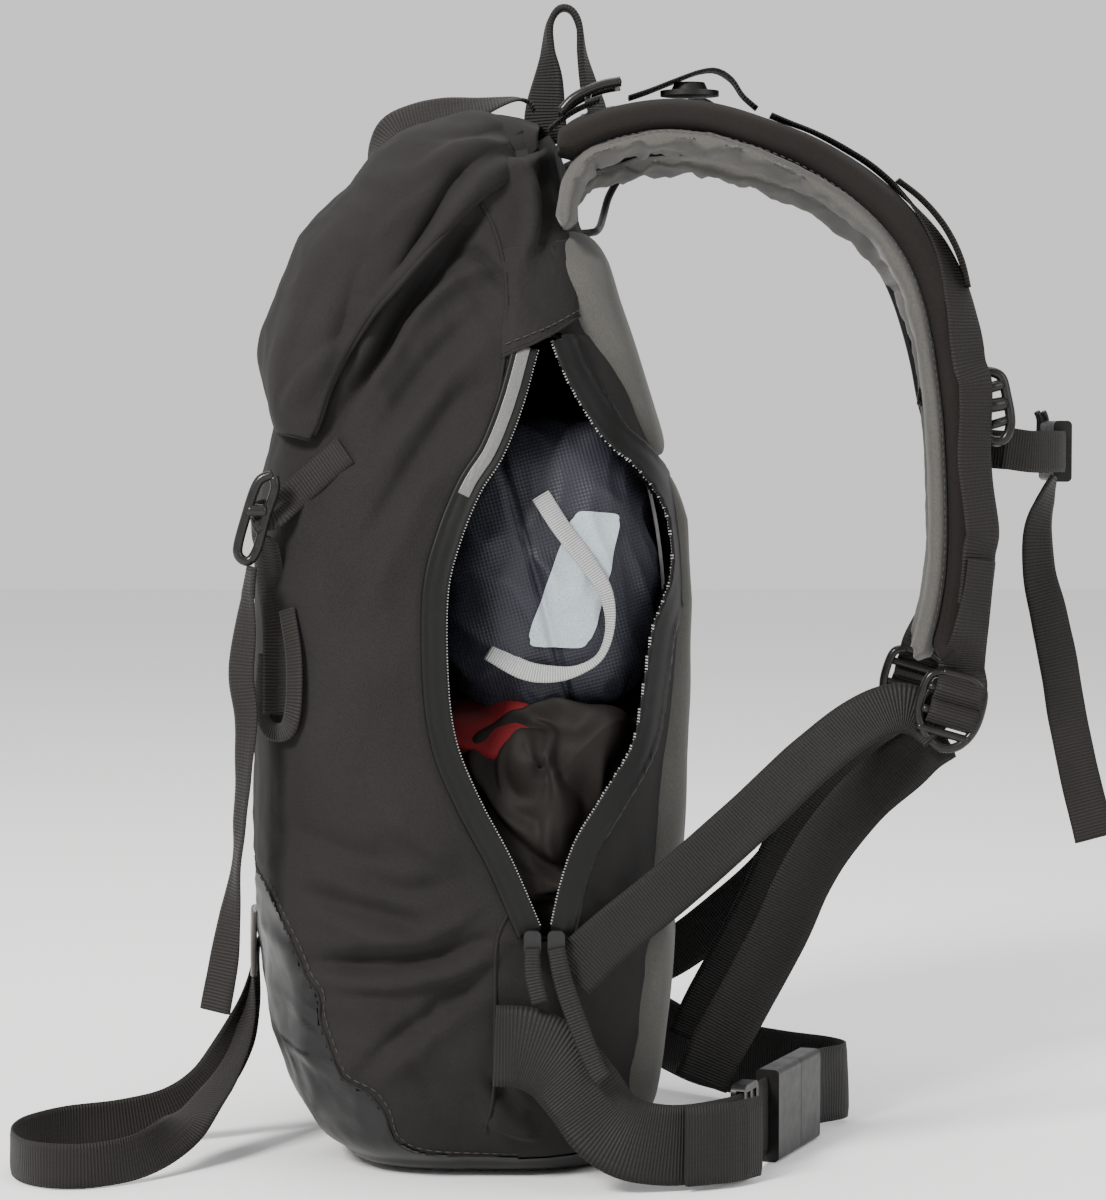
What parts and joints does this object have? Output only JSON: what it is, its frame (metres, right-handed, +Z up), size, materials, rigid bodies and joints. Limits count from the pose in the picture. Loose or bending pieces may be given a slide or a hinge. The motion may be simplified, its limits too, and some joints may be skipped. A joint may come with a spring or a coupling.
{
  "type": "avalanche airbag backpack",
  "caption": "Ski backpack with a hinged lid, spread side zip, padded shoulder straps, hip belt, ski straps and an airbag with gas cylinder and trigger handle.",
  "frame": {"origin": "centre of the flat base face that the pack stands on", "axes": "+Z up the pack, +X from the front panel towards the back panel and harness, -Y towards the wearer's right, the side with the zip opening"},
  "size_m": [0.536, 0.2847, 0.5672],
  "materials": {
    "shell_fabric": "matte",
    "coated_fabric": "satin",
    "grey_foam": "matte",
    "webbing": "matte",
    "buckle_plastic": "satin",
    "zip_tape": "satin",
    "slider_metal": "satin",
    "frame_plastic": "matte",
    "stay_metal": "satin",
    "sleeve_ripstop": "satin",
    "airbag_fabric": "satin",
    "liner_fabric": "satin",
    "cylinder_metal": "satin",
    "valve_metal": "satin",
    "lever_metal": "satin",
    "trigger_plastic": "satin",
    "cable_sheath": "satin",
    "fuzzy_tape": "matte"
  },
  "bodies": {
    "pack": {"base_boot": "coated_fabric", "front_panel": "shell_fabric", "side_panel_right": "shell_fabric", "side_panel_left": "shell_fabric", "back_panel": "shell_fabric", "top_panel": "shell_fabric", "shoulder_pad_right": "shell_fabric", "shoulder_pad_left": "shell_fabric", "zip_chain_front": "zip_tape", "zip_chain_rear": "zip_tape", "burst_zip": "zip_tape", "frame_sheet": "frame_plastic", "frame_stays": "stay_metal", "back_pads": "grey_foam", "lumbar_pad": "grey_foam", "strap_lining_right": "grey_foam", "strap_lining_left": "grey_foam", "strap_rails": "webbing", "load_lifters": "webbing", "grab_handle": "webbing", "front_strap": "webbing", "front_strap_tail": "webbing", "ski_loop": "webbing", "adjust_strap_right": "webbing", "adjust_strap_left": "webbing", "adjust_tail_right": "webbing", "adjust_tail_left": "webbing", "hip_belt_right": "webbing", "hip_belt_left": "webbing", "belt_tail": "webbing", "strap_top_buckle": "buckle_plastic", "belt_buckle_socket": "buckle_plastic", "belt_triglide": "buckle_plastic", "ski_patch": "fuzzy_tape", "zip_sliders": "slider_metal", "airbag_sleeve": "sleeve_ripstop", "folded_airbag": "airbag_fabric", "base_liner": "liner_fabric", "gas_cylinder": "cylinder_metal", "valve_head": "valve_metal", "trigger_cable": "cable_sheath"},
    "lid_cap": {"lid": "shell_fabric", "lid_strap": "webbing"},
    "hook": {"hook_buckle": "buckle_plastic"},
    "lifter_adjuster_right": {"load_lifter_buckle_right": "buckle_plastic"},
    "lifter_adjuster_left": {"load_lifter_buckle_left": "buckle_plastic"},
    "lower_adjuster_right": {"lower_buckle_right": "buckle_plastic"},
    "lower_adjuster_left": {"lower_buckle_left": "buckle_plastic"},
    "sternum": {"sternum_slider_right": "buckle_plastic", "sternum_slider_left": "buckle_plastic", "sternum_strap_right": "webbing", "sternum_strap_left": "webbing", "sternum_buckle_socket": "buckle_plastic", "sternum_tail": "webbing"},
    "sternum_plug": {"sternum_buckle_plug": "buckle_plastic"},
    "belt_plug": {"belt_buckle_plug": "buckle_plastic"},
    "long_pull": {"zip_pull_long": "webbing"},
    "short_pull": {"zip_pull_short": "webbing"},
    "trigger": {"trigger_handle": "trigger_plastic"},
    "lever": {"actuator_lever": "lever_metal"}
  },
  "joints": [
    {"name": "lid_hinge", "type": "hinge", "parent": "pack", "child": "lid_cap", "pos_m": [-0.007, 0, 0.5085], "axis": [0, 1, 0], "range_deg": [0, 75]},
    {"name": "hook_hinge", "type": "hinge", "parent": "pack", "child": "hook", "pos_m": [-0.144, -0.125, 0.296], "axis": [0, -1, 0], "range_deg": [0, 55]},
    {"name": "load_lifter_tilt_right", "type": "hinge", "parent": "pack", "child": "lifter_adjuster_right", "pos_m": [0.018, -0.075, 0.5145], "axis": [0, 1, 0], "range_deg": [-12, 20]},
    {"name": "load_lifter_tilt_left", "type": "hinge", "parent": "pack", "child": "lifter_adjuster_left", "pos_m": [0.018, 0.075, 0.5145], "axis": [0, 1, 0], "range_deg": [-12, 20]},
    {"name": "lower_tilt_right", "type": "hinge", "parent": "pack", "child": "lower_adjuster_right", "pos_m": [0.189, -0.075, 0.222], "axis": [1, 0, 0], "range_deg": [-15, 15]},
    {"name": "lower_tilt_left", "type": "hinge", "parent": "pack", "child": "lower_adjuster_left", "pos_m": [0.189, 0.075, 0.222], "axis": [1, 0, 0], "range_deg": [-15, 15]},
    {"name": "sternum_height", "type": "slide", "parent": "pack", "child": "sternum", "axis": [-0.106, 0, 0.9944], "range_m": [0, 0.045]},
    {"name": "sternum_release", "type": "slide", "parent": "sternum", "child": "sternum_plug", "axis": [0, 1, 0], "range_m": [0, 0.015]},
    {"name": "belt_release", "type": "slide", "parent": "pack", "child": "belt_plug", "axis": [0.3811, 0.9245, 0], "range_m": [0, 0.02]},
    {"name": "long_pull_swing", "type": "hinge", "parent": "pack", "child": "long_pull", "pos_m": [0.0015, -0.1432, 0.115], "axis": [0, 1, 0], "range_deg": [-30, 9]},
    {"name": "short_pull_swing", "type": "hinge", "parent": "pack", "child": "short_pull", "pos_m": [-0.0095, -0.1432, 0.115], "axis": [0, 1, 0], "range_deg": [0, 40]},
    {"name": "trigger_pull", "type": "slide", "parent": "pack", "child": "trigger", "axis": [0, 0, -1], "range_m": [0, 0.025]},
    {"name": "valve_lever", "type": "hinge", "parent": "pack", "child": "lever", "pos_m": [-0.014, 0.066, 0.265], "axis": [0, -1, 0], "range_deg": [0, 40]}
  ],
  "couplings": [
    {"joint": "valve_lever", "follows": "trigger_pull", "rad_per_m": 27.925}
  ]
}
